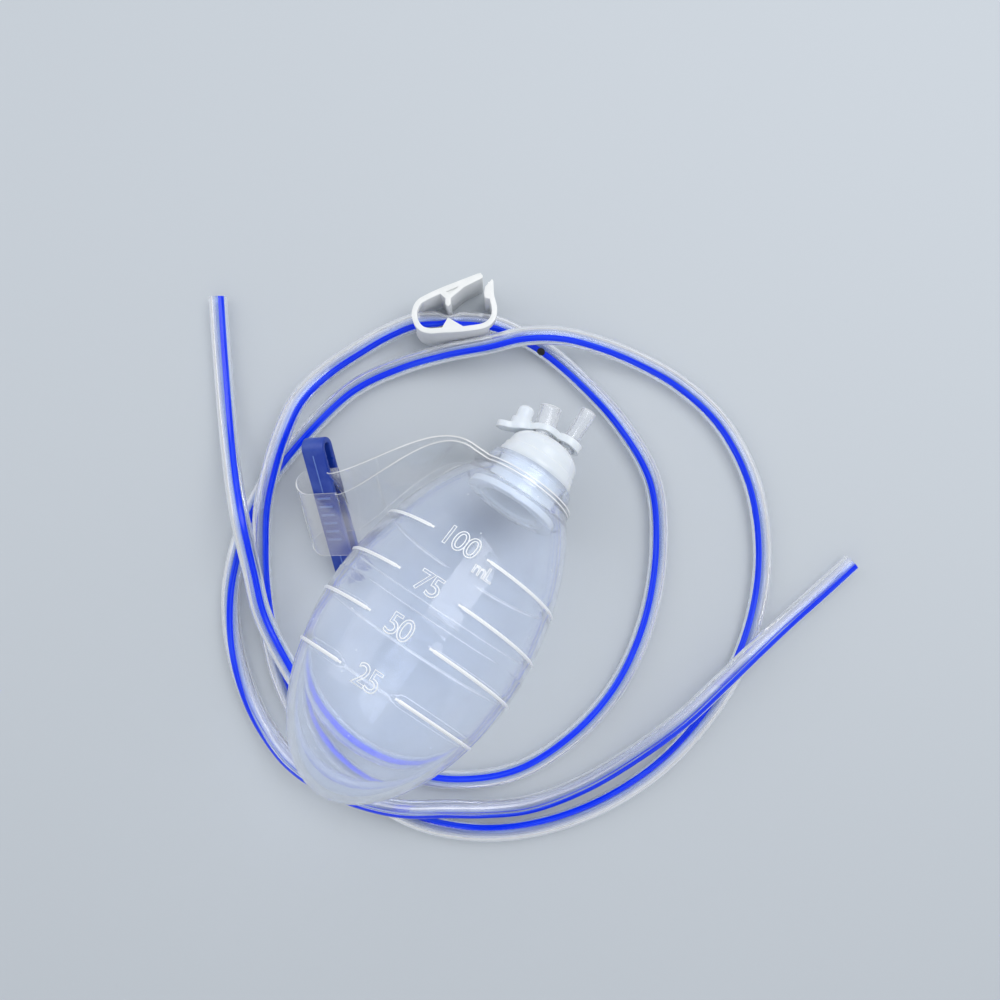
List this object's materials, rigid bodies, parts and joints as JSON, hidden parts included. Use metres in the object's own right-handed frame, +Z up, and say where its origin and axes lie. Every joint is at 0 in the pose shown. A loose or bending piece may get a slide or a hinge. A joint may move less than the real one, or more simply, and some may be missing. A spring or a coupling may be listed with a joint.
{
  "type": "wound drain bulb",
  "caption": "Soft squeeze bulb for wound suction with capped ports, tethered stopper, hanging strap and clip, lying with its loose striped drain tube and pinch clamp",
  "frame": {"origin": "on the surface that the set lies on, under the middle of the bulb with its ports, strap and clip", "axes": "+Z up; +Y along the bulb from its closed tip to its ports, which lie lower; +X to the right seen from above with the ports away"},
  "size_m": [0.1877, 0.1468, 0.0558],
  "materials": {
    "clear_silicone": "soft translucent silicone, satin",
    "milky_polyethylene": "milky, faintly see-through, satin",
    "clear_tubing": "clear soft tubing, glossy",
    "valve_silicone": "milky silicone, satin",
    "clear_film": "clear soft film, glossy",
    "blue_clip_plastic": "moulded, semi-gloss",
    "white_clamp_plastic": "moulded, satin"
  },
  "bodies": {
    "bulb_set": {"bulb": "clear_silicone", "port_cap": "milky_polyethylene", "emptying_spout": "clear_tubing", "inlet_spigot": "clear_tubing", "non_return_valve": "valve_silicone", "stopper": "milky_polyethylene", "drain_tube": "clear_tubing", "pinch_clamp": "white_clamp_plastic"},
    "strap": {"hanging_strap": "clear_film"},
    "clip": {"hanging_clip": "blue_clip_plastic"}
  },
  "joints": [
    {"name": "strap_swivel", "type": "hinge", "parent": "bulb_set", "child": "strap", "pos_m": [0.0134, -0.01335, 0.02793], "axis": [0, 0.9763, -0.2164], "range_deg": [0, 170]},
    {"name": "clip_slide", "type": "slide", "parent": "strap", "child": "clip", "axis": [0.6597, -0.6507, -0.376], "range_m": [-0.03, 0.003]}
  ]
}
